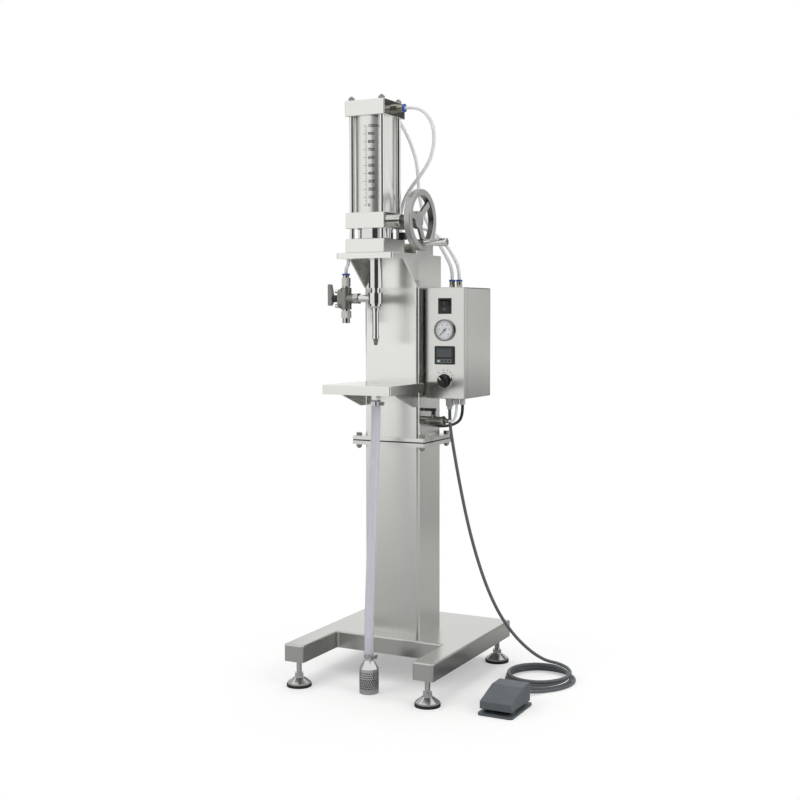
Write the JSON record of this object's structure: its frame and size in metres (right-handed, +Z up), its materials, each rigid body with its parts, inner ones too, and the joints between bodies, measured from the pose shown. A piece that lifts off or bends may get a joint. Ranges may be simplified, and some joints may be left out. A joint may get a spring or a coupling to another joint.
{
  "type": "liquid filling machine",
  "caption": "Floor-standing piston filler: stainless column on a U-shaped base, steel measuring cylinder with handwheel, nozzle over a bottle table, side control box and a foot pedal.",
  "frame": {"origin": "on the floor, under the column's axis", "axes": "+X to the machine's right, towards the control box; +Y to its rear; +Z up"},
  "size_m": [0.5879, 0.444, 1.3225],
  "materials": {
    "stainless_sheet": "fine brushed sheet",
    "machined_steel": "machined and brushed",
    "bright_steel": "polished",
    "fastener_steel": "plain bright steel",
    "wheel_metal": "cast and polished",
    "cast_steel": "cast, satin",
    "gauge_steel": "polished bezel",
    "black_rubber": "matt",
    "clear_plastic": "clear",
    "clear_hose": "clear with a braid",
    "air_tubing": "milky clear",
    "blue_plastic": "gloss",
    "fitting_metal": "nickel plated",
    "black_plastic": "satin black",
    "gland_plastic": "pale grey",
    "pedal_plastic": "dark grey, fine texture",
    "cable_jacket": "grey, satin"
  },
  "bodies": {
    "frame": {"base_frame": "stainless_sheet", "lower_column": "stainless_sheet", "upper_column": "stainless_sheet", "bottle_table": "stainless_sheet", "control_box": "stainless_sheet", "control_panel": "stainless_sheet", "manifold_box": "stainless_sheet", "head_bracket": "stainless_sheet", "top_head": "machined_steel", "middle_head": "machined_steel", "bottom_head": "machined_steel", "cylinder_tube": "machined_steel", "tie_rods": "bright_steel", "lower_barrel": "bright_steel", "nozzle_body": "bright_steel", "nozzle_tip": "bright_steel", "selector_ring": "bright_steel", "flange_bolts": "fastener_steel", "levelling_feet": "fastener_steel", "hose_clamps": "fastener_steel", "strainer": "fastener_steel", "ball_valve_body": "fastener_steel", "pedal_spring": "fastener_steel", "solenoid_valve": "wheel_metal", "valve_body": "cast_steel", "valve_bonnet": "cast_steel", "valve_nuts": "cast_steel", "gauge_case": "gauge_steel", "foot_pads": "black_rubber", "supply_hose": "black_rubber", "gauge_lens": "clear_plastic", "suction_hose": "clear_hose", "top_air_tube": "air_tubing", "box_air_tube_1": "air_tubing", "box_air_tube_2": "air_tubing", "valve_air_tube": "air_tubing", "valve_tube": "air_tubing", "fitting_collars": "blue_plastic", "air_fittings": "fitting_metal", "switch_bezel": "black_plastic", "timer_case": "black_plastic", "position_sensor": "black_plastic", "pedal_switch": "black_plastic", "cable_gland": "gland_plastic", "pedal_base": "pedal_plastic", "cable_drop": "cable_jacket", "cable_coil": "cable_jacket", "cable_tail": "cable_jacket"},
    "wheel": {"handwheel": "wheel_metal", "spindle": "bright_steel"},
    "grip": {"crank_grip": "wheel_metal"},
    "throttle": {"throttle_plug": "fastener_steel"},
    "piston": {"piston": "bright_steel", "piston_seals": "black_rubber"},
    "valve_key": {"valve_handle": "cast_steel"},
    "lever": {"ball_valve_lever": "black_plastic"},
    "switch_rocker": {"rocker": "black_plastic"},
    "needle": {"gauge_needle": "black_plastic"},
    "knob": {"selector_knob": "black_plastic"},
    "treadle": {"pedal_treadle": "pedal_plastic"}
  },
  "joints": [
    {"name": "handwheel_turn", "type": "hinge", "parent": "frame", "child": "wheel", "pos_m": [0.112, -0.1345, 1.0505], "axis": [1, 0, 0], "range_deg": [0, 1260]},
    {"name": "crank_spin", "type": "hinge", "parent": "wheel", "child": "grip", "pos_m": [0.15, -0.1345, 1.0005], "axis": [1, 0, 0], "continuous": true},
    {"name": "throttle_slide", "type": "slide", "parent": "frame", "child": "throttle", "axis": [1, 0, 0], "range_m": [-0.01401, 0]},
    {"name": "piston_slide", "type": "slide", "parent": "frame", "child": "piston", "axis": [0, 0, 1], "range_m": [0, 0.1722]},
    {"name": "valve_turn", "type": "hinge", "parent": "frame", "child": "valve_key", "pos_m": [-0.076, -0.1345, 0.8795], "axis": [1, 0, 0], "range_deg": [0, 90]},
    {"name": "lever_turn", "type": "hinge", "parent": "frame", "child": "lever", "pos_m": [0.0935, -0.029, 0.6215], "axis": [0, 0, 1], "range_deg": [0, 90]},
    {"name": "rocker_tilt", "type": "hinge", "parent": "frame", "child": "switch_rocker", "pos_m": [0.1232, -0.0275, 0.8625], "axis": [-1, 0, 0], "range_deg": [0, 16]},
    {"name": "needle_turn", "type": "hinge", "parent": "frame", "child": "needle", "pos_m": [0.1232, -0.0335, 0.8075], "axis": [0, 1, 0], "range_deg": [0, 270]},
    {"name": "knob_turn", "type": "hinge", "parent": "frame", "child": "knob", "pos_m": [0.1232, -0.04, 0.693], "axis": [0, 1, 0], "range_deg": [0, 96]},
    {"name": "treadle_tilt", "type": "hinge", "parent": "frame", "child": "treadle", "pos_m": [0.336, -0.211, 0.019], "axis": [-1, 0, 0], "range_deg": [0, 3.4], "stiffness_Nm_per_rad": 5, "springref_deg": -2.86, "deforming": ["pedal_spring"]}
  ],
  "couplings": [
    {"joint": "throttle_slide", "follows": "handwheel_turn", "m_per_rad": -0.00063662}
  ]
}
